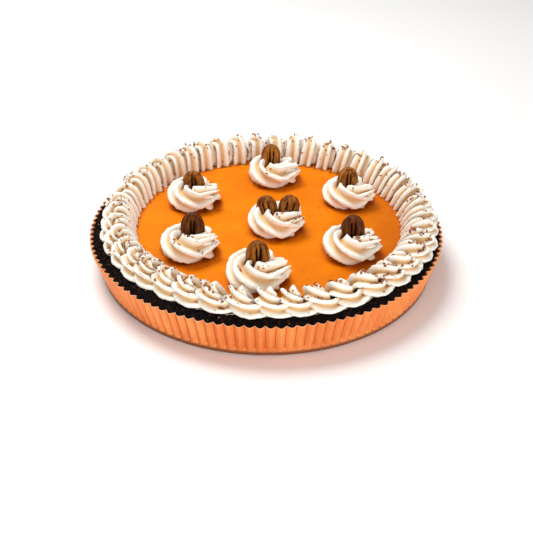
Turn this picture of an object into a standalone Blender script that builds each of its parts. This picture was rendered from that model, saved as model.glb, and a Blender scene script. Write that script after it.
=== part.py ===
"""Pumpkin pie in its fluted tart tin, with a piped cream border, cream rosettes and pecan halves.

Metres, +Z up. The origin is the centre of the tin's foot, and the pie's front faces -Y.
Inside the tin lie a crumb crust shaped like a shallow cup and the filling that fills it. The
border is one coiled rope of cream on the filling's edge and the crust's rim. Each rosette stands
on the filling and holds one or two upright pecan halves in sockets.
"""

import math

import bmesh
import bpy

# ---- Driving dimensions, in metres ----------------------------------------------------------
CLEARANCE = 0.0003            # kept between neighbouring pieces

RIM_RADIUS = 0.132            # over the flutes' crests at the tin's rim
TIN_HEIGHT = 0.028
TIN_WALL = 0.0006
FOOT_RADIUS = 0.1245
FOOT_BAND = 0.003             # plain band below the flutes
FLUTES = 120
FLUTE_DEPTH = 0.0034          # the same all the way up, so that a flute's sides stay flat
FLUTE_START = 0.0038          # height where the flutes have their full shape

CRUST_WALL_INNER = 0.1165     # radius of the crust's inner wall at the top
CRUST_WALL_TAPER = 0.0030     # how far the inner wall comes in at the bottom
CRUST_BASE = 0.0050           # thickness of the crust under the filling
CRUST_CREST = 0.0308          # height of the crust's inner edge
CRUST_SHOULDER = 0.0070       # how far the crust's top runs out before it slopes to the tin
CRUST_FALL = 0.0004           # how far it falls on the way
CRUST_EDGE = 0.0272           # height of the crust where it meets the tin
CRUST_FOOT_STEP = 0.0038      # how far its foot stays inside the flutes' valleys
CRUST_UNEVEN = 0.0003         # height of the largest waves on the crust's top
CRUST_WAVES = ((5, 0.6, 1.0), (9, 2.1, 1.0), (17, 0.0, 0.8))   # count round the pie, turn, size

FILLING_TOP = 0.0265
FILLING_GAP = 0.00045         # between the filling and the crust's wall
FILLING_ROUND = 0.0015        # width of the filling's rounded edge
FILLING_DROP = 0.0008         # its height
ROUND_SIDES = 40              # sides of the plain round stretches

BORDER_LOOPS = 38
BORDER_STEPS = 3              # stations along each loop
BORDER_TOP = 0.0455
BORDER_OUTER = 0.1245         # mean radius of the border's outer edge
BORDER_INNER = 0.0986         # mean radius of its inner edge
BORDER_DRIFT = 0.0030         # how far the inner edge wanders off centre
BORDER_LEAN = math.radians(50)
BORDER_OVAL = 0.0010
BORDER_RIDGE = 0.26           # depth of the ridges, as a part of the rope's half width
BORDER_SLANT = 0.80           # loops by which a ridge runs on between outer and inner edge
BORDER_CREST_AT = 0.34        # where on its loop a ridge is highest
BORDER_UNEVEN = 0.0006
# The rope's profile from its outer foot over the top to its inner foot: parts of half its width
# and of its height.
BORDER_PROFILE = (
    (1.0, 0.32), (1.02, 0.48), (0.86, 0.78), (0.45, 0.97), (-0.05, 1.0),
    (-0.55, 0.90), (-0.90, 0.62), (-1.02, 0.30), (-0.98, 0.0),
)

ROSETTE_RADIUS = 0.0212
ROSETTE_HEIGHT = 0.0125
ROSETTE_ARMS = 6
ROSETTE_TURN = math.radians(75)   # how far an arm sweeps round between foot and tip
ROSETTE_GROOVE = 0.30         # depth of the grooves between arms, as a part of the radius
ROSETTE_ARM = (0.0, 0.45, 1.0)    # how deep the points across an arm lie: crest, flank, groove
# Heights on a rosette as parts of its height, with its radius there and how deep its grooves are.
ROSETTE_LEVELS = (
    (0.0, 0.93, 1.0), (0.16, 1.0, 1.0), (0.45, 0.88, 1.0), (0.78, 0.60, 1.0), (1.0, 0.30, 0.5),
)

PECAN_THICKNESS = 0.0085
SOCKET_GROWTH = 0.0005        # by how much a socket is larger than its pecan, each way
PECAN_SINK = 0.0007           # height of a pecan's lower end above the filling
PECAN_TILT = math.radians(-6)     # how far its top leans back
PECAN_FOOT = 0.30             # width of the lower end, as a part of the largest
PECAN_WIDEST = 0.62           # where along its length a pecan is widest
PECAN_SHOULDER = 0.42         # length of the rounded top, as a part of the whole

# Rosette name, centre x and y, turn of its arms in degrees, and its pecans:
# (name, offset x, offset y, width, lean to the side in degrees, height of the top)
ROSETTES = (
    ("centre", 0.0074, -0.0045, 10, (
        ("left", -0.0060, 0.0010, 0.0152, -8, 0.0545),
        ("right", 0.0095, 0.0010, 0.0152, 5, 0.0550),
    )),
    ("back", 0.0062, 0.0752, -25, (("", -0.0036, 0.0010, 0.0162, 2, 0.0580),)),
    ("front", -0.0053, -0.0740, 20, (("", 0.0, 0.0010, 0.0168, -1, 0.0580),)),
    ("left_back", -0.0561, 0.0339, -10, (("", 0.0004, 0.0010, 0.0178, -4, 0.0545),)),
    ("left_front", -0.0546, -0.0384, 35, (("", 0.0024, 0.0010, 0.0176, 0, 0.0585),)),
    ("right_back", 0.0645, 0.0388, 5, (("", -0.0012, 0.0010, 0.0165, 1, 0.0565),)),
    ("right_front", 0.0612, -0.0381, -35, (("", 0.0004, 0.0010, 0.0177, 0, 0.0575),)),
)

# A pecan half seen from its end: x as a part of half the width, y as a part of the thickness.
PECAN_SECTION = (
    (0.0, -1.0), (0.24, -0.70), (0.44, -0.95), (0.86, -0.62), (1.0, -0.18), (0.84, 0.0),
    (-0.84, 0.0), (-1.0, -0.18), (-0.86, -0.62), (-0.44, -0.95), (-0.24, -0.70),
)
# The same for the socket that holds it, which has no grooves.
SOCKET_SECTION = (
    (0.45, -1.0), (0.88, -0.66), (1.0, -0.18), (1.0, 0.0),
    (-1.0, 0.0), (-1.0, -0.18), (-0.88, -0.66), (-0.45, -1.0),
)
PECAN_STATIONS = (0.0, 0.10, 0.32, 0.60, 0.82, 0.95, 1.0)   # along the length, lower end first


# ---- Helpers --------------------------------------------------------------------------------
def clear_scene():
    for old in list(bpy.data.objects):
        bpy.data.objects.remove(old, do_unlink=True)


def new_collection(name):
    collection = bpy.data.collections.new(name)
    bpy.context.scene.collection.children.link(collection)
    return collection


def new_material(name, colour, roughness, metallic=0.0):
    material = bpy.data.materials.new(name)
    material.use_nodes = True
    shader = material.node_tree.nodes["Principled BSDF"]
    shader.inputs["Base Color"].default_value = (*colour, 1.0)
    shader.inputs["Roughness"].default_value = roughness
    shader.inputs["Metallic"].default_value = metallic
    return material


def new_object(name, bm, collection, material=None, smooth_below=50):
    """An object from a bmesh, shaded smooth except across edges sharper than smooth_below."""
    bmesh.ops.recalc_face_normals(bm, faces=bm.faces)
    mesh = bpy.data.meshes.new(name)
    bm.to_mesh(mesh)
    bm.free()
    mesh.shade_smooth()
    mesh.set_sharp_from_angle(angle=math.radians(smooth_below))
    piece = bpy.data.objects.new(name, mesh)
    collection.objects.link(piece)
    if material:
        mesh.materials.append(material)
    return piece


def around(count):
    """The angles of count points spread evenly round a circle."""
    return [2 * math.pi * i / count for i in range(count)]


def circle(count, radius, height):
    return [(radius * math.cos(a), radius * math.sin(a), height) for a in around(count)]


def add_ring(bm, points):
    return [bm.verts.new(point) for point in points]


def stitch(bm, one, other):
    """Faces between two rings whose counts are equal, or one a multiple of the other."""
    fine, coarse = (one, other) if len(one) >= len(other) else (other, one)
    share = len(fine) // len(coarse)
    for i, corner in enumerate(coarse):
        following = coarse[(i + 1) % len(coarse)]
        start = i * share
        half = start + share // 2
        if share == 1:
            bm.faces.new((corner, following, fine[(start + 1) % len(fine)], fine[start]))
            continue
        for k in range(start, start + share):
            near = corner if k < half else following
            bm.faces.new((fine[k % len(fine)], fine[(k + 1) % len(fine)], near))
        bm.faces.new((corner, fine[half % len(fine)], following))


def closed_loft(rings):
    """A closed bmesh through rings of points, with its first and last ring filled."""
    bm = bmesh.new()
    loops = [add_ring(bm, points) for points in rings]
    for one, other in zip(loops, loops[1:]):
        stitch(bm, one, other)
    bm.faces.new(loops[0])
    bm.faces.new(loops[-1])
    return bm


# ---- Tin ------------------------------------------------------------------------------------
def flute_crest(height):
    """Radius of the flutes' outer crests at a height."""
    rise = (height - FLUTE_START) / (TIN_HEIGHT - FLUTE_START)
    return FOOT_RADIUS + (RIM_RADIUS - FOOT_RADIUS) * rise


def fluted_ring(height, inset):
    """The zigzag of the flutes at a height, moved inwards by an inset measured along the radius."""
    crest = flute_crest(height) - inset
    valley = crest - FLUTE_DEPTH
    points = []
    for i, angle in enumerate(around(2 * FLUTES)):
        radius = valley if i % 2 else crest
        points.append((radius * math.cos(angle), radius * math.sin(angle), height))
    return points


def slope_factor():
    """How much longer a step along the radius is than the same step square to a flute's side."""
    half_pitch = math.pi * RIM_RADIUS / FLUTES
    return math.hypot(half_pitch, FLUTE_DEPTH) / half_pitch


def make_tin(collection, material):
    wall = TIN_WALL * slope_factor()
    inner_floor = FOOT_RADIUS - FLUTE_DEPTH - 2 * wall
    rings = (
        circle(FLUTES, FOOT_RADIUS, 0.0),
        circle(FLUTES, FOOT_RADIUS, FOOT_BAND),
        fluted_ring(FLUTE_START, 0.0),
        fluted_ring(TIN_HEIGHT, 0.0),
        fluted_ring(TIN_HEIGHT, wall),
        fluted_ring(FLUTE_START, wall),
        circle(ROUND_SIDES, inner_floor, TIN_WALL),
    )
    return new_object("tin", closed_loft(rings), collection, material, smooth_below=25)


# ---- Crust ----------------------------------------------------------------------------------
def crust_rise(angle):
    """Unevenness of the crust's top, from slow waves round the pie."""
    return CRUST_UNEVEN * sum(size * math.sin(n * angle + turn) for n, turn, size in CRUST_WAVES)


def crust_highest():
    return CRUST_CREST + CRUST_UNEVEN * sum(size for _, _, size in CRUST_WAVES)


def uneven_circle(count, radius, height):
    points = []
    for angle in around(count):
        z = height + crust_rise(angle)
        points.append((radius * math.cos(angle), radius * math.sin(angle), z))
    return points


def make_crust(collection, material):
    inset = (TIN_WALL + CLEARANCE) * slope_factor()
    underside = TIN_WALL + CLEARANCE
    foot = FOOT_RADIUS - FLUTE_DEPTH - CRUST_FOOT_STEP
    lower = FLUTE_START + CLEARANCE
    rings = (
        circle(ROUND_SIDES, foot, underside),
        fluted_ring(lower, inset),
        fluted_ring(CRUST_EDGE, inset),
        uneven_circle(FLUTES, CRUST_WALL_INNER + CRUST_SHOULDER, CRUST_CREST - CRUST_FALL),
        uneven_circle(ROUND_SIDES, CRUST_WALL_INNER, CRUST_CREST),
        circle(ROUND_SIDES, CRUST_WALL_INNER - CRUST_WALL_TAPER, CRUST_BASE),
    )
    return new_object("crust", closed_loft(rings), collection, material)


# ---- Filling --------------------------------------------------------------------------------
def filling_radius(height):
    """The crust's inner wall less the clearance."""
    rise = (height - CRUST_BASE) / (CRUST_CREST - CRUST_BASE)
    return CRUST_WALL_INNER - CRUST_WALL_TAPER * (1 - rise) - FILLING_GAP


def make_filling(collection, material):
    bottom = CRUST_BASE + CLEARANCE
    shoulder = FILLING_TOP - FILLING_DROP
    rings = (
        circle(ROUND_SIDES, filling_radius(bottom), bottom),
        circle(ROUND_SIDES, filling_radius(shoulder), shoulder),
        circle(ROUND_SIDES, filling_radius(shoulder) - FILLING_ROUND, FILLING_TOP),
    )
    return new_object("filling", closed_loft(rings), collection, material)


# ---- Cream border ---------------------------------------------------------------------------
def border_inner(angle):
    drift = BORDER_DRIFT * math.cos(angle - BORDER_LEAN)
    return BORDER_INNER + drift - BORDER_OVAL * math.cos(2 * angle)


def loop_warp(angle):
    """Loops are a little uneven: closer together at the back than at the front."""
    return angle + 0.12 * math.cos(angle) + 0.012 * math.sin(7 * angle)


def ridge_height(phase):
    """Profile across one ridge: a sharp rise to the crest, then a long fall to the groove."""
    phase = phase % 1.0
    if phase < BORDER_CREST_AT:
        return phase / BORDER_CREST_AT
    return 1.0 - (phase - BORDER_CREST_AT) / (1.0 - BORDER_CREST_AT)


def border_section(angle, phase):
    """Points round the rope at one station: outer foot, over the top, inner foot, underside."""
    inner = border_inner(angle)
    outer = BORDER_OUTER + BORDER_UNEVEN * math.sin(11 * angle)
    half = (outer - inner) / 2
    middle = (outer + inner) / 2
    floor = FILLING_TOP + CLEARANCE
    seat = crust_highest() + CLEARANCE
    wall = CRUST_WALL_INNER - 4 * CLEARANCE
    points = []
    for i, (across, up) in enumerate(BORDER_PROFILE):
        ridge = ridge_height(phase + BORDER_SLANT * i / (len(BORDER_PROFILE) - 1))
        scale = 1.0 - BORDER_RIDGE * (1.0 - ridge)
        is_foot = i in (0, len(BORDER_PROFILE) - 1)
        height = floor + (BORDER_TOP - floor) * up * (1.0 if is_foot else scale)
        points.append((middle + half * across * scale, height))
    points[0] = (points[0][0], max(points[0][1], seat))
    points.append((wall, floor))
    points.append((wall, seat))
    turned = (math.cos(angle), math.sin(angle))
    return [(r * turned[0], r * turned[1], z) for r, z in points]


def make_border(collection, material):
    """A ring of ridged sections, closed on itself."""
    bm = bmesh.new()
    stations = BORDER_LOOPS * BORDER_STEPS
    loops = []
    for i, angle in enumerate(around(stations)):
        phase = i / BORDER_STEPS
        loops.append(add_ring(bm, border_section(loop_warp(angle), phase)))
    for i, loop in enumerate(loops):
        stitch(bm, loop, loops[(i + 1) % stations])
    return new_object("cream_border", bm, collection, material, smooth_below=70)


# ---- Pecans ---------------------------------------------------------------------------------
def pecan_outline(part):
    """Half width and thickness of a pecan half at a part of its length, each from 0 to 1."""
    if part > PECAN_WIDEST:
        width = math.sqrt(max(1 - ((part - PECAN_WIDEST) / PECAN_SHOULDER) ** 2, 0.0))
    else:
        swell = math.sin(math.pi * part / PECAN_WIDEST / 2) ** 0.8
        width = PECAN_FOOT + (1 - PECAN_FOOT) * swell
    return width, 0.35 + 0.65 * width


def pecan_shape(width, length, growth=0.0):
    """A pecan half standing on its narrower end, with its ridged side towards -Y."""
    rings = []
    for part in PECAN_STATIONS:
        wide, thick = pecan_outline(part)
        across = wide * width / 2 + growth
        deep = thick * PECAN_THICKNESS + 2 * growth
        height = part * length + growth * (2 * part - 1)
        section = SOCKET_SECTION if growth else PECAN_SECTION
        rings.append([(x * across, (y + 0.5) * deep, height) for x, y in section])
    return closed_loft(rings)


def place_pecan(piece, x, y, lean):
    piece.location = (x, y, FILLING_TOP + CLEARANCE + PECAN_SINK)
    piece.rotation_euler = (PECAN_TILT, math.radians(lean), 0.0)


# ---- Rosettes -------------------------------------------------------------------------------
def rosette_shape():
    """A swirled mound: arms that sweep round as they run down and out from the tip."""
    rings = []
    for up, out, depth in ROSETTE_LEVELS:
        points = []
        for i in range(ROSETTE_ARMS * len(ROSETTE_ARM)):
            arm, place = divmod(i, len(ROSETTE_ARM))
            step = (arm + place / len(ROSETTE_ARM)) / ROSETTE_ARMS
            radius = ROSETTE_RADIUS * out * (1.0 - ROSETTE_GROOVE * ROSETTE_ARM[place] * depth)
            angle = 2 * math.pi * step - ROSETTE_TURN * up
            height = ROSETTE_HEIGHT * up
            points.append((radius * math.cos(angle), radius * math.sin(angle), height))
        rings.append(points)
    return closed_loft(rings)


def cut_socket(rosette, cutter):
    socket = rosette.modifiers.new("socket_" + cutter.name, 'BOOLEAN')
    socket.operation = 'DIFFERENCE'
    socket.solver = 'EXACT'
    socket.object = cutter


def make_rosette(name, x, y, turn, pecans, parts, cutters, cream, nut):
    rosette = new_object("rosette_" + name, rosette_shape(), parts, cream, smooth_below=70)
    rosette.location = (x, y, FILLING_TOP + CLEARANCE)
    rosette.rotation_euler = (0.0, 0.0, math.radians(turn))
    for label, dx, dy, width, lean, top in pecans:
        length = top - FILLING_TOP - CLEARANCE - PECAN_SINK
        full_name = "pecan_" + name + ("_" + label if label else "")
        pecan = new_object(full_name, pecan_shape(width, length), parts, nut, smooth_below=60)
        place_pecan(pecan, x + dx, y + dy, lean)
        shape = pecan_shape(width, length, SOCKET_GROWTH)
        cutter = new_object("socket_" + full_name, shape, cutters)
        cutter.hide_render = True
        cutter.display_type = 'WIRE'
        place_pecan(cutter, x + dx, y + dy, lean)
        cut_socket(rosette, cutter)


# ---- Assembly -------------------------------------------------------------------------------
def main():
    clear_scene()
    parts = new_collection("pumpkin_pie")
    cutters = new_collection("pecan_sockets")
    copper = new_material("tin_copper", (0.90, 0.32, 0.13), 0.35, 0.7)
    crumb = new_material("crust_crumb", (0.020, 0.009, 0.004), 0.9)
    pumpkin = new_material("filling_pumpkin", (1.0, 0.28, 0.01), 0.45)
    cream = new_material("whipped_cream", (0.88, 0.77, 0.66), 0.6)
    nut = new_material("pecan_skin", (0.16, 0.06, 0.02), 0.45)
    make_tin(parts, copper)
    make_crust(parts, crumb)
    make_filling(parts, pumpkin)
    make_border(parts, cream)
    for name, x, y, turn, pecans in ROSETTES:
        make_rosette(name, x, y, turn, pecans, parts, cutters, cream, nut)


main()
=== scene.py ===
"""Looks for the pumpkin pie: tin, crumb crust, filling, piped cream, pecan halves and crumbs.

Every piece stands for its CAD node and keeps to its place. Lengths are in metres, +Z up, and the
pie's front faces -Y.
"""
import math
import random

import bmesh
import bpy
import numpy as np
from mathutils import Matrix, Vector
from mathutils.bvhtree import BVHTree


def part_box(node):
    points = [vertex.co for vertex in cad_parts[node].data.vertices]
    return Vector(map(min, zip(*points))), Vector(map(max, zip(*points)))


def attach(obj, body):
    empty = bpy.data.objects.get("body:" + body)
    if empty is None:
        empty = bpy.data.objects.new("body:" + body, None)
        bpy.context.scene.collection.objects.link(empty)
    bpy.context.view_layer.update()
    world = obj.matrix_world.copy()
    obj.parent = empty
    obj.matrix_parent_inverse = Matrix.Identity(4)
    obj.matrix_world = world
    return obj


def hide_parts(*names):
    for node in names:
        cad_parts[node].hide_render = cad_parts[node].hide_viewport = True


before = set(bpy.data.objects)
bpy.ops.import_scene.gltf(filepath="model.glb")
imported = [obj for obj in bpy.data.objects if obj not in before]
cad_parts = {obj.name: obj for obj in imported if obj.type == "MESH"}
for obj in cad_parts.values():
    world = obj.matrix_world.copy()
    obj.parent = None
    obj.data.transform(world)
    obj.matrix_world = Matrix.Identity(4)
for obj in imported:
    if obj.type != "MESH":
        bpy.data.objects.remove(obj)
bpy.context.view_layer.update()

MM = 0.001
TAU = 2 * math.pi

# ---- Places taken from the CAD ----------------------------------------------------------------
TIN_LOW, TIN_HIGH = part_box("tin")
FILL_LOW, FILL_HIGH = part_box("filling")
CRUST_LOW, CRUST_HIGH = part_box("crust")
BORDER_LOW, BORDER_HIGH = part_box("cream_border")
RIM = TIN_HIGH.x
RIM_Z = TIN_HIGH.z
FILL_Z = FILL_HIGH.z
FILL_R = FILL_HIGH.x
CRUST_Z = CRUST_HIGH.z - 0.6 * MM
BORDER_Z = BORDER_HIGH.z


# ---- Small helpers ----------------------------------------------------------------------------
def mesh_object(name, vertices, faces, material, smooth=True):
    mesh = bpy.data.meshes.new(name)
    mesh.from_pydata(np.asarray(vertices).reshape(-1, 3).tolist(), [], faces)
    mesh.update()
    if smooth:
        mesh.shade_smooth()
    mesh.materials.append(material)
    piece = bpy.data.objects.new(name, mesh)
    bpy.context.scene.collection.objects.link(piece)
    return piece


def grid_faces(rows, columns, wrap_rows=False, start=0):
    """Quads of a grid whose columns close on themselves."""
    i = np.arange(rows if wrap_rows else rows - 1)[:, None]
    j = np.arange(columns)[None, :]
    k = (i + 1) % rows
    n = (j + 1) % columns
    quads = np.stack([i * columns + j, i * columns + n, k * columns + n, k * columns + j], -1)
    return (quads.reshape(-1, 4) + start).tolist()


def paint(piece, name, values):
    """Keeps one number per vertex for the material to read."""
    layer = piece.data.attributes.new(name, 'FLOAT', 'POINT')
    layer.data.foreach_set("value", np.asarray(values, dtype=np.float32).ravel())


def scatter(ix, iy, iz, seed):
    h = (ix * 374761393 + iy * 668265263 + iz * 1440662683 + seed * 974634777) & 0xFFFFFFFF
    h = ((h ^ (h >> 13)) * 1274126177) & 0xFFFFFFFF
    h = ((h ^ (h >> 16)) * 461845907) & 0xFFFFFFFF
    return (h ^ (h >> 15)) / 4294967295.0


def grain(points, size, seed=0):
    """Smooth noise from -1 to 1 with lumps of a size."""
    p = np.asarray(points, dtype=float) / size
    base = np.floor(p).astype(np.int64)
    f = p - base
    f = f * f * (3 - 2 * f)
    total = 0.0
    for dx in (0, 1):
        for dy in (0, 1):
            for dz in (0, 1):
                weight = ((f[..., 0] if dx else 1 - f[..., 0])
                          * (f[..., 1] if dy else 1 - f[..., 1])
                          * (f[..., 2] if dz else 1 - f[..., 2]))
                total = total + weight * scatter(base[..., 0] + dx, base[..., 1] + dy,
                                                 base[..., 2] + dz, seed)
    return 2 * total - 1


def pebbles(points, size, seed):
    """Packed rounded grains: from 0 in the seams to 1 on top of a grain."""
    p = np.asarray(points, dtype=float) / size
    base = np.floor(p).astype(np.int64)
    nearest = np.full(p.shape[:-1], 9.0)
    for dx in (-1, 0, 1):
        for dy in (-1, 0, 1):
            for dz in (-1, 0, 1):
                cell = base + np.array([dx, dy, dz])
                away = [cell[..., k] + scatter(cell[..., 0], cell[..., 1], cell[..., 2], seed + k)
                        - p[..., k] for k in range(3)]
                nearest = np.minimum(nearest, away[0] ** 2 + away[1] ** 2 + away[2] ** 2)
    return np.sqrt(np.clip(1 - nearest / 0.55, 0, 1))


def sphere_points(count):
    """Directions spread evenly over a sphere."""
    k = np.arange(count) + 0.5
    up = 1 - 2 * k / count
    turn = k * math.pi * (1 + 5 ** 0.5)
    flat = np.sqrt(1 - up * up)
    return np.stack([flat * np.cos(turn), flat * np.sin(turn), up], -1)


def shade(piece, tree, reach, rays, ring):
    """How much of the sky each vertex loses to what stands close to it, from 0 to 1, kept for
    the material. Only every second ring of vertices is looked at; the others take the mean of
    their neighbours."""
    count = len(piece.data.vertices)
    places, normals = np.empty(count * 3), np.empty(count * 3)
    piece.data.vertices.foreach_get("co", places)
    piece.data.vertex_normals.foreach_get("vector", normals)
    places, normals = places.reshape(-1, 3), normals.reshape(-1, 3)
    looked = np.flatnonzero((np.arange(count) // ring) % 2 == 0)
    places, normals = places[looked], normals[looked]
    starts = (places + normals * 0.25 * MM).tolist()
    seen = np.zeros(len(looked))
    cast = tree.ray_cast
    for spot in sphere_points(rays):
        ways = normals + spot * 0.999
        ways /= np.linalg.norm(ways, axis=1, keepdims=True)
        hits = [cast(start, way, reach)[3] for start, way in zip(starts, ways.tolist())]
        seen += [0.0 if hit is None else 1 - hit / reach for hit in hits]
    lost = np.zeros(count)
    lost[looked] = seen / rays
    skipped = np.flatnonzero((np.arange(count) // ring) % 2 == 1)
    before, after = skipped - ring, np.minimum(skipped + ring, count - 1)
    lost[skipped] = (lost[before] + lost[after]) / 2
    paint(piece, "shade", lost)


def tree_of(pieces):
    """One search tree over several pieces."""
    vertices, faces = [], []
    for piece in pieces:
        start = len(vertices)
        vertices += [v.co.copy() for v in piece.data.vertices]
        faces += [[start + i for i in f.vertices] for f in piece.data.polygons]
    return BVHTree.FromPolygons(vertices, faces)


def wander(turns, count, seed):
    """Numbers from -1 to 1 that change smoothly from one whole turn to the next, in a ring."""
    rng = np.random.default_rng(seed)
    values = rng.uniform(-1, 1, count)
    low = np.floor(turns).astype(int)
    f = turns - low
    f = f * f * (3 - 2 * f)
    return values[low % count] * (1 - f) + values[(low + 1) % count] * f


# ---- Materials --------------------------------------------------------------------------------
class Nodes:
    """Short forms for building a node material."""

    def __init__(self, name):
        self.material = bpy.data.materials.new(name)
        self.material.use_nodes = True
        self.tree = self.material.node_tree
        self.shader = self.tree.nodes["Principled BSDF"]

    def link(self, a, b):
        self.tree.links.new(a, b)

    def put(self, socket, value):
        if hasattr(value, "is_output"):
            self.link(value, socket)
        else:
            socket.default_value = value

    def set(self, **values):
        for key, value in values.items():
            self.put(self.shader.inputs[key.replace("_", " ")], value)

    def noise(self, scale, detail=3.0, roughness=0.5, stretch=None, distortion=0.0):
        node = self.tree.nodes.new("ShaderNodeTexNoise")
        node.inputs["Scale"].default_value = scale
        node.inputs["Detail"].default_value = detail
        node.inputs["Roughness"].default_value = roughness
        node.inputs["Distortion"].default_value = distortion
        self.link(self.place(stretch), node.inputs["Vector"])
        return node.outputs["Fac"]

    def cells(self, scale, stretch=None):
        node = self.tree.nodes.new("ShaderNodeTexVoronoi")
        node.inputs["Scale"].default_value = scale
        self.link(self.place(stretch), node.inputs["Vector"])
        return node.outputs["Distance"]

    def place(self, stretch=None):
        coordinates = self.tree.nodes.new("ShaderNodeTexCoord").outputs["Object"]
        if stretch is None:
            return coordinates
        mapping = self.tree.nodes.new("ShaderNodeMapping")
        mapping.inputs["Scale"].default_value = stretch
        self.link(coordinates, mapping.inputs["Vector"])
        return mapping.outputs["Vector"]

    def across(self):
        """Metres from the middle to the right."""
        node = self.tree.nodes.new("ShaderNodeSeparateXYZ")
        self.link(self.place(), node.inputs[0])
        return node.outputs["X"]

    def attribute(self, name):
        node = self.tree.nodes.new("ShaderNodeAttribute")
        node.attribute_name = name
        return node.outputs["Fac"]

    def curve(self, value, low, high, out_low=0.0, out_high=1.0):
        node = self.tree.nodes.new("ShaderNodeMapRange")
        node.interpolation_type = 'SMOOTHSTEP'
        self.put(node.inputs["Value"], value)
        for key, number in zip(("From Min", "From Max", "To Min", "To Max"),
                               (low, high, out_low, out_high)):
            node.inputs[key].default_value = number
        return node.outputs["Result"]

    def mix(self, amount, one, two, mode='MIX'):
        node = self.tree.nodes.new("ShaderNodeMix")
        node.data_type = 'RGBA'
        node.blend_type = mode
        self.put(node.inputs["Factor"], amount)
        for socket, value in ((node.inputs[6], one), (node.inputs[7], two)):
            self.put(socket, value if hasattr(value, "is_output") else (*value, 1.0))
        return node.outputs[2]

    def math(self, operation, one, two=0.0):
        node = self.tree.nodes.new("ShaderNodeMath")
        node.operation = operation
        self.put(node.inputs[0], one)
        self.put(node.inputs[1], two)
        return node.outputs[0]

    def bump(self, height, distance, strength=1.0, after=None):
        node = self.tree.nodes.new("ShaderNodeBump")
        node.inputs["Distance"].default_value = distance
        node.inputs["Strength"].default_value = strength
        self.link(height, node.inputs["Height"])
        if after is not None:
            self.link(after, node.inputs["Normal"])
        return node.outputs["Normal"]


def cream_material():
    n = Nodes("whipped_cream")
    # Painted shade: the grooves between the fins are tan, and only the lips keep the pale cream colour.
    groove_shade_tan = n.mix(n.noise(90, 2), (0.74, 0.45, 0.19), (0.86, 0.61, 0.34))
    pale = n.mix(n.noise(60, 3), (0.98, 0.93, 0.82), (0.995, 0.975, 0.90))
    depth = n.curve(n.attribute("ridge"), LIP_LOW, LIP_HIGH)
    colour = n.mix(depth, groove_shade_tan, pale)
    lost = n.curve(n.attribute("shade"), 0.22, 0.72)
    colour = n.mix(n.math('MULTIPLY', lost, SHADE), colour, (0.33, 0.14, 0.045))
    n.set(Base_Color=colour, Roughness=0.62, Subsurface_Weight=SOFT, Subsurface_Scale=0.0025)
    n.shader.inputs["Subsurface Radius"].default_value = (1.0, 0.55, 0.3)
    n.shader.inputs["Specular IOR Level"].default_value = 0.3
    fine = n.bump(n.noise(900, 3, 0.6), 0.00025, 0.5)
    n.set(Normal=n.bump(n.noise(260, 3), 0.0010, 0.6, fine))
    return n.material


def filling_material():
    n = Nodes("set_pumpkin_custard")
    mottle = n.curve(n.noise(45, 4, 0.6), 0.35, 0.7)
    colour = n.mix(mottle, (0.86, 0.215, 0.001), (0.93, 0.255, 0.001))
    specks = n.curve(n.noise(430, 3, 0.6), 0.60, 0.70)
    colour = n.mix(n.math('MULTIPLY', specks, 0.6), colour, (0.45, 0.09, 0.001))
    lost = n.curve(n.attribute("shade"), 0.06, 0.62)
    colour = n.mix(lost, colour, (0.30, 0.055, 0.001))
    cloud = n.curve(n.noise(16, 3, 0.6), 0.42, 0.68, 0.0, 0.30)
    colour = n.mix(cloud, colour, (0.60, 0.115, 0.001))
    # Painted shade: the filling darkens towards its right side.
    colour = n.mix(n.curve(n.across(), 0.035, 0.095, 0.0, 0.50), colour, (0.44, 0.080, 0.001))
    n.set(Base_Color=colour, Roughness=0.5)
    n.shader.inputs["Specular IOR Level"].default_value = 0.06
    n.set(Normal=n.bump(n.noise(220, 4, 0.6), 0.0004, 0.5))
    return n.material


def crust_material():
    n = Nodes("dark_crumb_crust")
    flecks = n.curve(n.noise(520, 3, 0.6), 0.52, 0.70)
    high = n.curve(n.attribute("ridge"), 0.45, 0.95)
    colour = n.mix(n.math('MULTIPLY', flecks, high), (0.004, 0.0015, 0.001), (0.085, 0.028, 0.009))
    n.set(Base_Color=colour, Roughness=0.85)
    n.shader.inputs["Specular IOR Level"].default_value = 0.12
    n.set(Normal=n.bump(n.noise(1400, 3, 0.6), 0.0006, 0.6))
    return n.material


def tin_material():
    n = Nodes("copper_coloured_tin")
    cloud = n.noise(60, 3, 0.5, stretch=(1, 1, 0.25))
    colour = n.mix(n.curve(cloud, 0.3, 0.7), (0.82, 0.235, 0.046), (0.92, 0.335, 0.084))
    streaks = n.noise(700, 2, 0.5, stretch=(1, 1, 0.04))
    colour = n.mix(n.curve(streaks, 0.40, 0.75, 0.0, 0.45), colour, (0.80, 0.16, 0.035))
    # Painted shade: the creases between the flutes are darkened.
    crease = n.curve(n.attribute("ridge"), 0.0, 0.22)
    colour = n.mix(crease, (0.45, 0.085, 0.018), colour)
    specks = n.curve(n.noise(900, 2, 0.5), 0.74, 0.78)
    colour = n.mix(n.math('MULTIPLY', specks, 0.7), colour, (0.22, 0.05, 0.015))
    # Painted shade: the foot band and the underside are darkened, where the tin stands on the floor.
    foot = n.curve(n.attribute("foot"), 0.0, 1.0)
    colour = n.mix(foot, colour, (0.22, 0.060, 0.015))
    # Painted highlight: a pale line along the top of the rim.
    edge = n.curve(n.attribute("edge"), 0.2, 1.0)
    colour = n.mix(edge, colour, (0.95, 0.60, 0.36))
    n.set(Base_Color=colour, Metallic=0.15, Roughness=n.curve(cloud, 0.2, 0.8, 0.36, 0.52))
    lines = n.noise(380, 2, 0.5, stretch=(0.12, 0.12, 1.6))
    n.set(Normal=n.bump(lines, 0.0003, 0.35))
    return n.material


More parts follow.
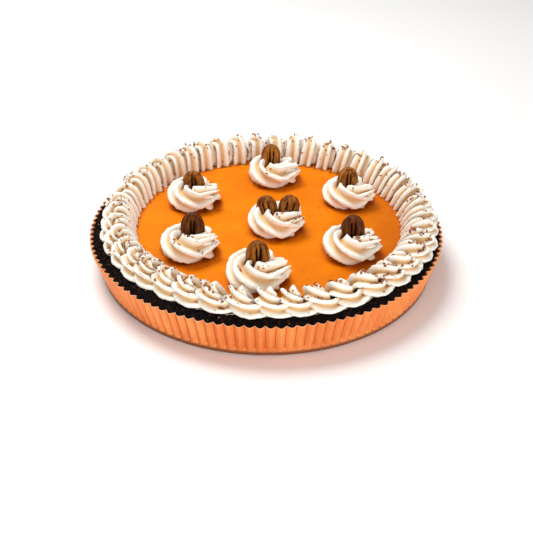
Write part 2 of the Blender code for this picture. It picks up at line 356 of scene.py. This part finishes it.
def pecan_material(name, dark, light):
    n = Nodes(name)
    streaks = n.noise(420, 3, 0.6, stretch=(1, 1, 0.22), distortion=0.4)
    colour = n.mix(n.curve(streaks, 0.35, 0.68), dark, light)
    # Painted shade: the grooves darken to near black.
    depth = n.curve(n.attribute("ridge"), 0.10, 0.55)
    colour = n.mix(depth, (0.010, 0.003, 0.001), colour)
    n.set(Base_Color=colour, Roughness=n.curve(streaks, 0.3, 0.7, 0.40, 0.60))
    n.shader.inputs["Specular IOR Level"].default_value = 0.12
    n.set(Normal=n.bump(n.noise(650, 3, 0.6, stretch=(1, 1, 0.35)), 0.0005, 0.6))
    return n.material


def crumb_material():
    n = Nodes("nut_and_biscuit_crumb")
    colour = n.mix(n.curve(n.noise(250, 2), 0.35, 0.65), (0.20, 0.048, 0.008), (0.48, 0.165, 0.034))
    n.set(Base_Color=colour, Roughness=0.6)
    n.set(Normal=n.bump(n.noise(1500, 2), 0.0005, 0.6))
    return n.material


def floor_material():
    n = Nodes("pale_floor")
    colour = n.mix(n.noise(3, 2), (0.95, 0.94, 0.93), (0.96, 0.95, 0.945))
    n.set(Base_Color=colour, Roughness=0.8)
    n.set(Normal=n.bump(n.noise(80, 2), 0.0005, 0.1))
    return n.material


SOFT = 0.0
SHADE = 0.58
# Where the painted tan shade of the grooves turns into the pale lips, on the ridge scale from 0 to 1.
LIP_LOW = 0.15
LIP_HIGH = 0.85
CREAM = cream_material()
CRUMB = crumb_material()


# ---- Piped cream ------------------------------------------------------------------------------
FINS = 5
# Points across one fin as parts of its width: up one wall, over the flat lip and down the other.
FIN_PLACES = (0.0, 0.13, 0.25, 0.345, 0.40, 0.50, 0.60, 0.655, 0.75, 0.87)
LIP = 0.80
HOLLOW_POWER = 1.6
AROUND = FINS * len(FIN_PLACES)


def star_section():
    """The star tip's outline: each point's angle, and 0 in a groove to 1 on a fin's lip."""
    u = np.array(FIN_PLACES)
    edge = np.minimum((1 - np.abs(2 * u - 1)) / LIP, 1) ** HOLLOW_POWER
    angle = (np.arange(FINS)[:, None] + u[None, :]) * TAU / FINS
    return angle.ravel(), np.tile(edge, FINS)


def pipe(path, groove, fin, turned, twist, seed, floor, ragged=0.55 * MM):
    """Sweeps the star tip along a path. groove and fin are the rope's radii in its grooves and on
    its fins and turned is how far the tip is turned, all of them one number per point; twist is
    how much the fins turn round the rope with its heading (-1 for a tip that keeps still)."""
    tangent = np.gradient(path, axis=0)
    tangent /= np.linalg.norm(tangent, axis=1, keepdims=True)
    side = np.cross([0, 0, 1.0], tangent)
    side /= np.linalg.norm(side, axis=1, keepdims=True)
    top = np.cross(tangent, side)
    heading = np.unwrap(np.arctan2(side[:, 1], side[:, 0]))
    places, edge = star_section()
    phi = places[None, :] + (turned + twist * heading)[:, None]
    edge = np.repeat(edge[None, :], len(path), axis=0)
    radius = groove[:, None] + (fin - groove)[:, None] * edge
    offset = side[:, None, :] * np.cos(phi)[..., None] + top[:, None, :] * np.sin(phi)[..., None]
    rows = path[:, None, :] + offset * radius[..., None]
    lumps = grain(rows, 1.3 * MM, seed) * edge ** 4 * ragged
    lumps = lumps + grain(rows, 4.5 * MM, seed + 1) * 0.35 * MM
    rows = rows + offset * lumps[..., None]
    rows[..., 2] = np.maximum(rows[..., 2], floor(rows))
    return rows, edge


def crust_level(r):
    """Height of the crust's top before its lumps, at a radius, in millimetres."""
    slope = np.clip((r - 121.5) / 8.0, 0, 1)
    return CRUST_Z / MM - 4.2 * slope ** 1.2


def cream_floor(rows):
    """Height the cream's underside keeps to: a little inside the filling or the crust."""
    r = np.hypot(rows[..., 0], rows[..., 1]) / MM
    step = np.clip((r - 115.5) / 2.0, 0, 1)
    low = FILL_Z / MM - 0.5
    return (low + (crust_level(r) - 1.2 - low) * step) * MM


LOOPS = 43
LOOP_STEPS = 44


def make_border():
    """One rope of cream in counterclockwise loops: out over the loop before, along the outer
    side, down to the crust, in across the filling's edge and back."""
    turns = np.arange(LOOPS * LOOP_STEPS) / LOOP_STEPS
    angle = TAU * turns / LOOPS
    angle = angle + 0.07 * np.cos(angle) + 0.012 * np.sin(7 * angle) + 0.016 * wander(turns, LOOPS, 3)
    inner = INNER + 3.0 * np.cos(angle - math.radians(50)) - 1.0 * np.cos(2 * angle)
    outer = OUTER + 2.2 * np.cos(angle) + 0.8 * wander(turns, LOOPS, 4)
    fin = ROPE + 0.4 * wander(turns, LOOPS, 5)
    middle = (inner + outer) / 2
    reach = (outer - inner) / 2 - fin + 0.4
    phase = TAU * turns + 0.2 * wander(turns, LOOPS, 6)
    along = ALONG - ALONG_SWING * np.sin(angle) + 0.6 * wander(turns, LOOPS, 7)
    lift = LIFT + 1.2 * np.clip(np.sin(angle), 0, 1) + 0.4 * wander(turns, LOOPS, 8)
    r = middle - reach * np.sin(phase)
    ring = angle + along * np.cos(phase + SKEW + SWING * np.sin(angle)) / middle
    z = BORDER_Z / MM - ROPE - DROP + 0.4 * wander(turns, LOOPS, 9)
    moved = phase - CREST_BACK * np.sin(angle)
    z = z - lift * np.cos(moved) - DIVE * np.sin(moved) + TWICE * np.cos(2 * moved)
    z = z + BACK_RISE * np.clip(np.sin(ring), 0, 1) * (0.5 - 0.5 * np.sin(phase)) ** 2
    z = z + FRONT_FILL * np.clip(-np.sin(ring), 0, 1) * (0.5 + 0.5 * np.sin(phase)) ** 2
    path = np.stack([r * np.cos(ring), r * np.sin(ring), z], -1) * MM
    padded = np.concatenate([path[-2:], path, path[:2]])
    wrap = lambda v: np.concatenate([v[-2:], v, v[:2]])
    star = angle + STAR_TURN + 0.1 * wander(turns, LOOPS, 10)
    rows, edge = pipe(padded, wrap(fin * GROOVE) * MM, wrap(fin) * MM,
                      np.concatenate([star[-2:] - TAU, star, star[:2] + TAU]), -1, 20, cream_floor)
    rows, edge = rows[2:-2], edge[2:-2]
    piece = mesh_object("cream_border_rope", rows, grid_faces(len(rows), AROUND, True), CREAM)
    paint(piece, "ridge", edge)
    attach(piece, "root")
    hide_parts("cream_border")
    return piece


ROPE = 7.5
ALONG = 5.8
ALONG_SWING = 2.2
SKEW = math.radians(-30)
SWING = math.radians(-5)
LIFT = 5.6
GROOVE = 0.42
DIVE = 5.0
TWICE = 2.5
DROP = 7.9
BACK_RISE = 1.5
FRONT_FILL = 3.2
CREST_BACK = 0.0
INNER = 98.6
OUTER = 125.5
STAR_TURN = math.radians(34)


# ---- Rosettes ---------------------------------------------------------------------------------
# Name, size, turn in degrees, and where the upright peak behind the nut is.
ROSETTES = (
    ("centre", 1.0, 0, (17.0, 2.0)),
    ("back", 1.0, 0, (7.5, 3.0)),
    ("front", 1.04, 6, (9.5, 3.0)),
    ("left_back", 1.0, -4, (10.0, 2.0)),
    ("left_front", 1.0, 4, (14.0, 0.0)),
    ("right_back", 0.96, 0, (9.0, 3.0)),
    ("right_front", 1.0, -3, (12.5, 3.0)),
)
ROSETTE_STEPS = 190
TAIL_STEPS = 20
TAIL = 13.0
COIL_FROM = -70
COIL_TO = 292
UP_FROM = 60
UP_TO = 300
COIL_R = 10.3
COIL_IN = -1.4
COIL_Z = 6.4
COIL_UP = 2.6


def close_ends(vertices, faces, rows, columns, start):
    """Fans that close the two ends of a tube, round a point added at each end."""
    for row, flip in ((0, False), (rows - 1, True)):
        ring = vertices[start + row * columns:start + (row + 1) * columns]
        middle = len(vertices)
        vertices = np.concatenate([vertices, ring.mean(axis=0)[None]])
        for j in range(columns):
            one, two = start + row * columns + j, start + row * columns + (j + 1) % columns
            faces.append([middle, one, two] if flip else [middle, two, one])
    return vertices, faces


def ease(value, low, high):
    """0 below low, 1 above high and a smooth rise between."""
    part = np.clip((value - low) / (high - low), 0, 1)
    return part * part * (3 - 2 * part)


def rosette_path(size, turn, seed):
    """Once round counterclockwise, opening and rising, and away to the right in a tail. Also how
    far into the tail each point is."""
    sweep = ROSETTE_STEPS - TAIL_STEPS
    degrees = np.linspace(COIL_FROM, COIL_TO + turn, sweep)
    around = np.radians(degrees)
    upper = ease(degrees, UP_FROM, UP_TO)
    radius = COIL_R - COIL_IN * upper
    x, y = radius * np.cos(around), radius * np.sin(around)
    z = COIL_Z + COIL_UP * upper + 0.35 * np.sin(around * 2 + seed)
    heading = around[-1] + math.pi / 2
    out = np.arange(1, TAIL_STEPS + 1) * TAIL / TAIL_STEPS
    x = np.append(x, x[-1] + out * math.cos(heading))
    y = np.append(y, y[-1] + out * math.sin(heading))
    z = np.append(z, z[-1] + 0.22 * out)
    kernel = np.hanning(15) / np.hanning(15).sum()
    x, y, z = (np.convolve(np.pad(v, 7, mode='edge'), kernel, mode='valid') for v in (x, y, z))
    away = np.clip((np.arange(ROSETTE_STEPS) - sweep + 6) / (TAIL_STEPS + 5), 0, 1)
    return np.stack([x, y, z], -1) * size, away


def make_rosette(name, size, turn, peak, seed):
    low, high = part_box("rosette_" + name)
    middle = (low + high) / 2
    path, away = rosette_path(size, turn, seed)
    path = path * MM + np.array([middle.x, middle.y, FILL_Z])
    start = np.clip(np.arange(ROSETTE_STEPS) / 14, 0, 1) ** 0.5
    fin = ROSE_ROPE * size * (1 - 0.60 * away ** 1.6) * (0.35 + 0.65 * start) * MM
    groove = fin * GROOVE * (1 - 0.75 * away)
    turned = np.full(ROSETTE_STEPS, ROSE_TURN + 0.35 * math.sin(2.3 * seed))
    rows, edge = pipe(path, groove, fin, turned, ROSE_TWIST, 40 + seed, cream_floor)
    ahead = path[-1] - path[-6]
    ahead = ahead / np.linalg.norm(ahead)
    rows = rows + (away[:, None] ** 2 * edge ** 2 * 4.5 * MM * size)[..., None] * ahead
    vertices = rows.reshape(-1, 3)
    faces = grid_faces(ROSETTE_STEPS, AROUND)
    vertices, faces = close_ends(vertices, faces, ROSETTE_STEPS, AROUND, 0)
    values = np.concatenate([edge.ravel(), [0.5, 0.5]])
    vertices, faces, values = add_peak(vertices, faces, values, middle, peak, seed)
    piece = mesh_object("rosette_" + name + "_cream", vertices, faces, CREAM)
    paint(piece, "ridge", values)
    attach(piece, "root")
    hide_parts("rosette_" + name)
    return piece


ROSE_ROPE = 10.2
ROSE_TURN = 0.6
ROSE_TWIST = 1.05


def add_peak(vertices, faces, values, middle, peak, seed):
    """The pointed wave of cream that stands up beside a nut."""
    rows, around = 26, 28
    u = np.linspace(0, 1, rows)[:, None]
    phi = (np.arange(around) / around * TAU)[None, :]
    width = 3.4 * (1 - u) ** 0.8 + 0.25
    depth = 2.4 * (1 - u) ** 0.8 + 0.25
    wave = 1 + 0.16 * np.cos(3 * phi + 4 * u + seed)
    x = peak[0] - 2.0 + 3.0 * u ** 2 + width * wave * np.cos(phi)
    y = peak[1] + depth * wave * np.sin(phi)
    z = 8.5 + 9.5 * u + 0 * phi
    tip = np.stack([x, y, z], -1) * MM + np.array([middle.x, middle.y, FILL_Z])
    tip = tip + grain(tip, 2.2 * MM, seed)[..., None] * 0.25 * MM
    start = len(vertices)
    vertices = np.concatenate([vertices, tip.reshape(-1, 3)])
    faces = faces + grid_faces(rows, around, start=start)
    vertices, faces = close_ends(vertices, faces, rows, around, start)
    # These ridge values give the peak's sides stripes of the cream's painted groove shade.
    ridge = (0.75 + 0.25 * np.cos(3 * phi + 4 * u + seed)) * np.ones_like(u)
    return vertices, faces, np.concatenate([values, ridge.ravel(), [0.9, 0.9]])


# ---- Pecan halves -----------------------------------------------------------------------------
# Name, lean to the side, the two grooves' places at the top and bottom as parts of half the
# width, and the nut's dark and light colours.
DARK_NUT = ((0.048, 0.009, 0.001), (0.165, 0.045, 0.006))
MID_NUT = ((0.100, 0.024, 0.002), (0.370, 0.125, 0.015))
GOLD_NUT = ((0.135, 0.038, 0.003), (0.440, 0.160, 0.022))
PECANS = (
    ("centre_left", -8, (-0.42, 0.20), (0.02, 0.26), MID_NUT),
    ("centre_right", 5, (-0.28, 0.52), (-0.28, 0.00), MID_NUT),
    ("back", 2, (-0.14, 0.34), (-0.12, 0.10), GOLD_NUT),
    ("front", -1, (-0.06, 0.38), (-0.08, 0.06), MID_NUT),
    ("left_back", -4, (-0.10, 0.26), (-0.02, 0.20), MID_NUT),
    ("left_front", 0, (-0.16, 0.16), (-0.06, 0.12), DARK_NUT),
    ("right_back", 1, (-0.18, 0.22), (-0.04, 0.20), GOLD_NUT),
    ("right_front", 0, (-0.18, 0.16), (-0.06, 0.10), DARK_NUT),
)
NUT_ROWS, NUT_FRONT, NUT_BACK = 72, 72, 24
NUT_SHORT = 2.4
# The two nuts in the middle stand a little closer together, in millimetres to the right.
NUT_SHIFT = {"centre_left": 1.4, "centre_right": -1.4}


def nut_half_width(t):
    """Half width of the outline, as a part of the largest, up the nut from 0 to 1."""
    low = 0.62 + 0.38 * np.sin(math.pi / 2 * np.clip(t / 0.45, 0, 1)) ** 0.9
    high = np.sqrt(np.clip(1 - np.clip((t - 0.45) / 0.552, 0, 1) ** 3.0, 0, 1))
    return np.where(t < 0.45, low, high)


def make_pecan(name, lean, at_top, at_foot, colours, seed):
    low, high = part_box("pecan_" + name)
    middle = (low + high) / 2
    middle.x += NUT_SHIFT.get(name, 0.0) * MM
    length = (high.z - low.z) / MM - NUT_SHORT
    tipped = length / 2 * math.sin(math.radians(lean))
    half = math.sqrt(((high.x - low.x) / MM / 2) ** 2 - tipped ** 2) + abs(NUT_SHIFT.get(name, 0.0)) / 2
    thick = 9.0
    t = (1 - np.cos(np.linspace(0, math.pi, NUT_ROWS))) / 2
    t = (0.35 * t + 0.65 * np.linspace(0, 1, NUT_ROWS))[:, None]
    front = np.sin(np.linspace(-math.pi / 2, math.pi / 2, NUT_FRONT, endpoint=False)) * 0.5
    front = (front + 0.5 * np.linspace(-1, 1, NUT_FRONT, endpoint=False))[None, :]
    back = np.linspace(1, -1, NUT_BACK, endpoint=False)[None, :]
    wide = half * nut_half_width(t)
    dome = np.clip(1 - np.abs(front) ** 2.4, 0, 1) ** 0.62
    crown = nut_half_width(t) ** 0.55
    fall = np.clip((t - 0.80) / 0.20, 0, 1) ** 2
    y = -thick * 0.62 * dome * crown * (1 - 0.35 * fall)
    ridge = np.ones_like(y)
    reach = np.clip((0.90 - t) / 0.12, 0, 1) * np.clip((t - 0.02) / 0.06, 0, 1)
    for foot, top in zip(at_foot, at_top):
        place = foot + (top - foot) * np.clip((t - 0.30) / 0.60, 0, 1)
        place = place + 0.02 * np.sin(9 * t + seed + foot)
        cut = np.exp(-((front - place) * half / 0.62) ** 2)
        shoulder = np.exp(-((front - place) * half / 2.0) ** 2)
        y = y + reach * (2.3 * cut + 0.55 * shoulder)
        ridge = ridge - 0.95 * reach * cut - 0.1 * reach * shoulder
    flat = 0.5 + 0.9 * np.exp(-(back / 0.35) ** 2) - 0.5 * np.exp(-(back / 0.10) ** 2)
    y_back = thick * 0.30 * crown * np.clip(1 - back ** 2, 0, 1) ** 0.5 * flat
    x = np.concatenate([wide * front, wide * back], 1)
    y = np.concatenate([y, y_back], 1)
    ridge = np.concatenate([ridge, np.ones_like(y_back)], 1)
    z = (t - 0.5) * length + 0 * x
    points = np.stack([x, y, z], -1)
    rough = points * np.array([1.0, 1.0, 0.35]) + 50 * seed
    bumps = 0.22 * grain(rough, 1.1, seed) + 0.30 * grain(rough, 2.6, seed + 9)
    points[..., 1] += bumps * np.clip((1 - t) / 0.10, 0, 1)
    points[..., 0] += 0.18 * grain(rough, 1.8, seed + 5)
    turn = Matrix.Rotation(math.radians(lean), 3, 'Y') @ Matrix.Rotation(math.radians(-6), 3, 'X')
    points[..., 2] -= NUT_SHORT / 2
    points = points @ np.array(turn).T * MM + np.array([middle.x, middle.y, middle.z])
    columns = NUT_FRONT + NUT_BACK
    vertices, faces = close_ends(points.reshape(-1, 3), grid_faces(NUT_ROWS, columns),
                                 NUT_ROWS, columns, 0)
    piece = mesh_object("pecan_" + name + "_half", vertices, faces,
                        pecan_material("pecan_skin_" + name, *colours))
    paint(piece, "ridge", np.concatenate([ridge.ravel(), [0.8, 0.8]]))
    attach(piece, "root")
    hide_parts("pecan_" + name)
    return piece


# ---- Tin --------------------------------------------------------------------------------------
FLUTES = 120
FLUTE_POINTS = 12
FLUTE_DEPTH = 2.8
FOOT_R = 124.5
FOOT_BAND = 2.6
WALL = 0.45


def flute_profile(columns):
    """0 in a crease between flutes, 1 on a flute's rounded crest, round the tin."""
    u = (np.arange(columns) / FLUTE_POINTS) % 1.0
    crest = np.abs(2 * u - 1)
    return 0.25 * crest + 0.75 * np.sin(crest * math.pi / 2)


def make_tin():
    columns = FLUTES * FLUTE_POINTS
    angle = np.arange(columns) / columns * TAU + TAU / FLUTES / 2
    profile = flute_profile(columns)
    top = RIM_Z / MM
    heights = [0.0, 0.4, 1.0, FOOT_BAND, 3.0, 3.5, 4.2, 5.2, 6.5, 9, 12, 15, 18, 21, 24, 26.4,
               27.5, top]
    rows, ridge, foot, edge = [], [], [], []
    wobble = np.stack([RIM / MM * np.cos(angle), RIM / MM * np.sin(angle), 0 * angle], -1)
    wave = 0.30 * grain(wobble, 16.0, 5) + 0.20 * grain(wobble, 5.0, 6)

    def ring(z, inset, lip=0.0):
        climb = np.clip((z - FOOT_BAND) / (top - FOOT_BAND), 0, 1)
        crest = FOOT_R + (RIM / MM - 0.15 - FOOT_R) * climb
        fade = np.clip((z - FOOT_BAND) / 2.6, 0, 1)
        fade = fade * fade * (3 - 2 * fade)
        rounding = 0.9 * np.clip(1 - z / 1.0, 0, 1) ** 2
        radius = crest - rounding - FLUTE_DEPTH * fade * (1 - profile) - inset
        rough = np.stack([radius * np.cos(angle), radius * np.sin(angle),
                          np.full(columns, z * 0.5)], -1)
        radius = radius + 0.14 * grain(rough, 5.0, 3) * fade + 0.05 * grain(rough, 1.6, 4)
        height = z + (wave - 0.45) * climb
        rows.append(np.stack([radius * np.cos(angle), radius * np.sin(angle), height], -1))
        ridge.append(1 - fade * (1 - profile))
        # The foot value is painted shade: full at the foot, gone by 4.6 mm up.
        foot.append(np.full(columns, np.clip((4.6 - z) / 2.4, 0, 1)))
        edge.append(np.full(columns, lip))

    for z in heights:
        # The top ring and the rim's lip above it carry the painted highlight along the rim (edge).
        ring(z, 0.0, 0.35 if z == top else 0.0)
    ring(top + 0.12, WALL * 0.5, 1.0)
    for z in reversed(heights[5:]):
        ring(z, WALL * 1.3)
    under = [np.stack([r * np.cos(angle), r * np.sin(angle), 0 * angle], -1)
             for r in (1.0, 60.0, 118.0, 123.0)]
    floor = [np.stack([r * np.cos(angle), r * np.sin(angle), 0 * angle + WALL], -1)
             for r in (116.0, 80.0, 30.0, 1.0)]
    rows = under + rows + floor
    plain = np.ones(columns)
    ridge = [plain] * len(under) + ridge + [plain] * len(floor)
    # The underside takes the full painted shade of the foot; the inside floor takes none.
    foot = [plain] * len(under) + foot + [0 * plain] * len(floor)
    edge = [0 * plain] * len(under) + edge + [0 * plain] * len(floor)
    vertices = np.concatenate(rows) * MM
    vertices[:, 2] = np.maximum(vertices[:, 2], 0.0)
    faces = grid_faces(len(rows), columns)
    vertices, faces = close_ends(vertices, faces, len(rows), columns, 0)
    piece = mesh_object("fluted_tin", vertices, faces, tin_material())
    for name, values in (("ridge", ridge), ("foot", foot), ("edge", edge)):
        paint(piece, name, np.concatenate([np.concatenate(values), [1.0, 1.0]]))
    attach(piece, "root")
    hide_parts("tin")
    return piece


# ---- Crust and filling ------------------------------------------------------------------------
def make_crust():
    columns = FLUTES * FLUTE_POINTS
    angle = np.arange(columns) / columns * TAU + TAU / FLUTES / 2
    profile = flute_profile(columns)

    def flank(z):
        climb = np.clip((z - FOOT_BAND) / (RIM_Z / MM - FOOT_BAND), 0, 1)
        return FOOT_R + (RIM / MM - 0.15 - FOOT_R) * climb - 1.1 - FLUTE_DEPTH * (1 - profile)

    across = np.linspace(0, 1, 34)[:, None]
    radius = flank(26.6)[None, :] + (112.0 - flank(26.6)[None, :]) * across
    waves = np.sin(5 * angle + 0.6) + np.sin(9 * angle + 2.1) + 0.8 * np.sin(17 * angle)
    height = crust_level(radius) + 0.3 * waves[None, :]
    points = np.stack([radius * np.cos(angle), radius * np.sin(angle), height], -1)
    top = 0.6 * pebbles(points, 2.3, 60) + 0.4 * pebbles(points + 0.2, 1.25, 70)
    rough = 2.3 * (top - 0.5) + 0.8 * grain(points, 7.0, 80)
    under_cream = np.clip((OUTER - 1.5 + 2.2 * np.cos(angle) - radius) / 2.5, 0, 1)
    points[..., 2] += rough * np.clip(across / 0.04, 0.3, 1) * (1 - 0.7 * under_cream)
    points[..., 2] -= 2.4 * under_cream
    under = [np.stack([flank(z) * np.cos(angle), flank(z) * np.sin(angle), 0 * angle + z], -1)
             for z in (20.0, 10.0, 4.6)]
    floor = [np.stack([r * np.cos(angle), r * np.sin(angle), 0 * angle + 1.0], -1)
             for r in (115.0, 40.0, 1.0)]
    inside = [np.stack([r * np.cos(angle), r * np.sin(angle), 0 * angle + z], -1)
              for r, z in ((112.0, 6.0), (60.0, 5.0), (1.0, 5.0))]
    rows = np.concatenate([np.array(floor[::-1] + under[::-1]), points, np.array(inside)])
    ridge = np.concatenate([np.zeros((6, columns)), top, np.zeros((3, columns))])
    vertices = rows.reshape(-1, 3) * MM
    vertices, faces = close_ends(vertices, grid_faces(len(rows), columns), len(rows), columns, 0)
    piece = mesh_object("dark_crumb_crust", vertices, faces, crust_material())
    paint(piece, "ridge", np.concatenate([ridge.ravel(), [0.0, 0.0]]))
    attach(piece, "root")
    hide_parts("crust")
    return piece


FILL_COLUMNS = 180


def make_filling():
    columns, turns = FILL_COLUMNS, np.concatenate([np.linspace(0.5, 108, 50), np.linspace(109, 115.4, 8)])
    angle = np.arange(columns) / columns * TAU
    top = np.stack([turns[:, None] * np.cos(angle), turns[:, None] * np.sin(angle),
                    np.full((len(turns), columns), FILL_Z / MM)], -1)
    top[..., 2] += 0.10 * grain(top, 22.0, 90) + 0.04 * grain(top, 6.0, 91) - 0.05
    side = [np.stack([r * np.cos(angle), r * np.sin(angle), np.full(columns, z)], -1)
            for r, z in ((115.6, 25.6), (113.2, 5.6), (60.0, 5.4), (0.5, 5.4))]
    rows = np.concatenate([top, np.array(side)])[::-1]
    vertices = rows.reshape(-1, 3) * MM
    vertices, faces = close_ends(vertices, grid_faces(len(rows), columns), len(rows), columns, 0)
    piece = mesh_object("pumpkin_filling", vertices, faces, filling_material())
    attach(piece, "root")
    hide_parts("filling")
    return piece


# ---- Crumbs -----------------------------------------------------------------------------------
# Clumps of crumbs on the border: angle round the pie, radius in millimetres, how many.
CLUMPS = (
    (107, 122, 6), (112, 120, 8), (123, 118, 12), (130, 116, 18), (145, 114, 6), (157, 118, 16),
    (175, 119, 9), (179, 110, 14), (191, 110, 6), (204, 113, 8), (210, 114, 18), (217, 107, 12),
    (226, 108, 16), (223, 115, 16), (233, 107, 16), (242, 110, 12), (247, 117, 5), (251, 114, 10),
    (256, 118, 14), (92, 117, 14), (81, 118, 8), (74, 118, 8), (62, 116, 12), (57, 119, 12),
    (48, 113, 6), (37, 118, 9), (26, 121, 14), (15, 117, 8), (7, 115, 14), (-6, 116, 8),
    (-18, 111, 14), (-21, 120, 14), (-25, 118, 20), (-33, 122, 6), (-42, 116, 16), (-48, 121, 12),
    (-45, 108, 10), (-55, 109, 14), (-53, 122, 8), (-64, 108, 12), (-71, 108, 8), (-76, 118, 4),
    (-80, 118, 4),
)
# The same on the rosettes: rosette, place from its middle, how many.
SPRINKLES = (
    ("left_back", (11, -3), 9), ("left_back", (18, -9), 5), ("left_back", (0, -12), 3),
    ("left_front", (-9, -13), 4), ("left_front", (1, -9), 12), ("left_front", (10, -16), 4),
    ("left_front", (17, -8), 4), ("right_front", (3, -8), 8), ("right_front", (13, -4), 7),
    ("centre", (12, -12), 9), ("centre", (17, -9), 10), ("centre", (2, -10), 5),
    ("back", (9, 4), 7), ("back", (-4, -14), 3), ("front", (8, -12), 5), ("front", (2, -9), 5),
    ("right_back", (2, -9), 3), ("front", (-12, -8), 3),
)


def crumb_shape(rng, size):
    """One broken crumb: a rounded lump with knocked-off sides."""
    bm = bmesh.new()
    bmesh.ops.create_icosphere(bm, subdivisions=1, radius=1.0)
    points = np.array([v.co for v in bm.verts])
    faces = [[v.index for v in f.verts] for f in bm.faces]
    bm.free()
    points *= rng.uniform(0.75, 1.25, (len(points), 1))
    points *= np.array([rng.uniform(0.8, 1.5), rng.uniform(0.7, 1.1), rng.uniform(0.5, 0.9)])
    return points * size, faces


def make_crumbs(name, spots, tree, material, slot, seed, sink=0.2):
    """Crumbs let down onto whatever lies under each spot: (x, y, size)."""
    rng = np.random.default_rng(seed)
    vertices, faces, count = [], [], 0
    for x, y, size in spots:
        hit, normal, _, _ = tree.ray_cast((x, y, 0.09), (0, 0, -1), 0.1)
        if hit is None or normal.z < 0.05:
            continue
        if slot == "crust" and hit.z / MM > crust_level(math.hypot(x, y) / MM) + 1.6:
            continue
        points, sides = crumb_shape(rng, size)
        spin = Matrix.Rotation(rng.uniform(0, TAU), 3, 'Z')
        stand = normal.to_track_quat('Z', 'Y').to_matrix() @ spin
        points = points @ np.array(stand).T + np.array(hit + normal * size * (0.55 - sink))
        vertices.append(points)
        faces += [[count + i for i in side] for side in sides]
        count += len(points)
    piece = mesh_object(name, np.concatenate(vertices), faces, material, smooth=False)
    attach(piece, "root")
    return piece


def crumb_spots():
    rng = np.random.default_rng(8)
    spots = []

    def size():
        return (0.34 + 0.95 * rng.random() ** 2.2) * MM

    for angle, radius, count in CLUMPS:
        for _ in range(round(count * 2.2)):
            a = math.radians(angle + 2.0 * rng.normal())
            r = (radius + 2.6 * rng.normal()) * MM
            spots.append((r * math.cos(a), r * math.sin(a), size()))
    for _ in range(700):
        a = rng.uniform(0, TAU)
        r = (114 + 5.5 * rng.normal()) * MM
        spots.append((r * math.cos(a), r * math.sin(a), 0.8 * size()))
    for name, (dx, dy), count in SPRINKLES:
        low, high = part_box("rosette_" + name)
        for _ in range(round(count * 1.7)):
            x = (low.x + high.x) / 2 + (dx + 2.0 * rng.normal()) * MM
            y = (low.y + high.y) / 2 + (dy + 2.0 * rng.normal()) * MM
            spots.append((x, y, size()))
    for _ in range(34):
        a, r = rng.uniform(0, TAU), 95 * math.sqrt(rng.random()) * MM
        spots.append((r * math.cos(a), r * math.sin(a), 0.5 * size()))
    for angle, radius, lump in ((44, 123, 2.1), (206, 122, 1.3), (233, 121, 1.4)):
        a = math.radians(angle)
        spots.append((radius * MM * math.cos(a), radius * MM * math.sin(a), lump * MM))
    return spots


def crust_spots():
    rng = np.random.default_rng(12)
    spots = []
    for _ in range(1500):
        a, r = rng.uniform(0, TAU), rng.uniform(122.5, 128.6) * MM
        size = (0.35 + 0.65 * rng.random() ** 2) * MM
        spots.append((r * math.cos(a), r * math.sin(a), size))
    return spots


# ---- Camera, light and floor ------------------------------------------------------------------
def make_camera():
    elevation, roll, focal = math.radians(33.15), math.radians(0.43), 900 / 533
    forward = Vector((0, math.cos(elevation), -math.sin(elevation)))
    right = Vector((1, 0, 0))
    up = right.cross(forward)
    right, up = (math.cos(roll) * right + math.sin(roll) * up,
                 math.cos(roll) * up - math.sin(roll) * right)
    place = (-forward * 5.26 + right * 0.003 - up * 0.071) * RIM
    camera = bpy.data.objects.new("camera", bpy.data.cameras.new("camera"))
    camera.data.sensor_width = 36
    camera.data.lens = 36 * focal
    camera.data.clip_end = 50
    bpy.context.scene.collection.objects.link(camera)
    turn = Matrix((right, up, -forward)).transposed().to_4x4()
    camera.matrix_world = Matrix.Translation(place) @ turn
    bpy.context.scene.camera = camera


def make_light(name, place, target, size, power, colour=(1, 1, 1)):
    lamp = bpy.data.lights.new(name, 'AREA')
    lamp.shape = 'DISK'
    lamp.size = size
    lamp.energy = power
    lamp.color = colour
    holder = bpy.data.objects.new(name, lamp)
    holder.location = place
    aim = Vector(target) - Vector(place)
    holder.rotation_euler = aim.to_track_quat('-Z', 'Y').to_euler()
    bpy.context.scene.collection.objects.link(holder)


SKY = 0.42
KEY_POWER = 9.5
FRONT_POWER = 6.2


def make_world():
    world = bpy.data.worlds.new("soft_studio")
    world.use_nodes = True
    background = world.node_tree.nodes["Background"]
    background.inputs["Color"].default_value = (1.0, 0.99, 0.98, 1)
    background.inputs["Strength"].default_value = SKY
    bpy.context.scene.world = world
    bpy.context.scene.view_settings.view_transform = 'Standard'


def make_floor():
    rings = [(r, 0.0) for r in (0.0001, 0.05, 0.2, 0.6, 1.5, 4.0)]
    count = 64
    rows = [[(r * math.cos(TAU * i / count), r * math.sin(TAU * i / count), z)
             for i in range(count)] for r, z in rings]
    floor = mesh_object("floor", rows, grid_faces(len(rings), count), floor_material())


make_camera()
make_world()
make_floor()
make_light("key", (-0.30, 0.35, 0.98), (0, 0, 0.02), 0.6, KEY_POWER)
make_light("front", (0.25, -1.0, 0.28), (0, 0, 0.02), 0.8, FRONT_POWER)
cream = [make_border()]
for i, (name, size, turn, peak) in enumerate(ROSETTES):
    cream.append(make_rosette(name, size, turn, peak, i + 1))
nuts = [make_pecan(*row, i + 1) for i, row in enumerate(PECANS)]
tin = make_tin()
crust = make_crust()
filling = make_filling()
everything = tree_of(cream + nuts + [filling, crust])
for piece in cream:
    shade(piece, everything, 6 * MM, 6, AROUND)
shade(filling, everything, 22 * MM, 12, FILL_COLUMNS)
make_crumbs("scattered_crumbs", crumb_spots(), everything, CRUMB, "crumb", 21)
make_crumbs("loose_crust_crumbs", crust_spots(), everything, crust.data.materials[0], "crust",
            22)
